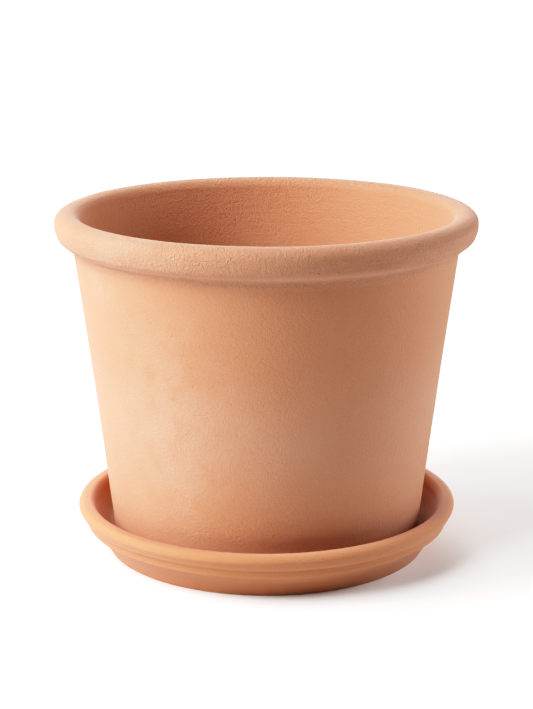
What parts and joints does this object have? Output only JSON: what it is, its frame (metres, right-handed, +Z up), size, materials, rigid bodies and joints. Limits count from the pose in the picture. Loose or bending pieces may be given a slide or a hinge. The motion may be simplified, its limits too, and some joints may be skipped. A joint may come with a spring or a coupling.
{
  "type": "flower pot with saucer",
  "caption": "Round tapered terracotta flower pot with a rolled rim and a drain hole, standing in a matching round drip saucer that it lifts out of.",
  "frame": {"origin": "on the axis of pot and saucer, in the plane that the saucer stands on", "axes": "+Z up along the axis of both turned pieces; X and Y level, with nothing to tell them apart"},
  "size_m": [0.2, 0.2, 0.1648],
  "materials": {
    "pot_clay": "unglazed, matte",
    "saucer_clay": "unglazed, matte"
  },
  "bodies": {
    "saucer": {"saucer": "saucer_clay"},
    "pot": {"pot": "pot_clay"}
  },
  "joints": [
    {"name": "pot_lift", "type": "slide", "parent": "saucer", "child": "pot", "axis": [0, 0, 1], "range_m": [0, 0.06]}
  ]
}
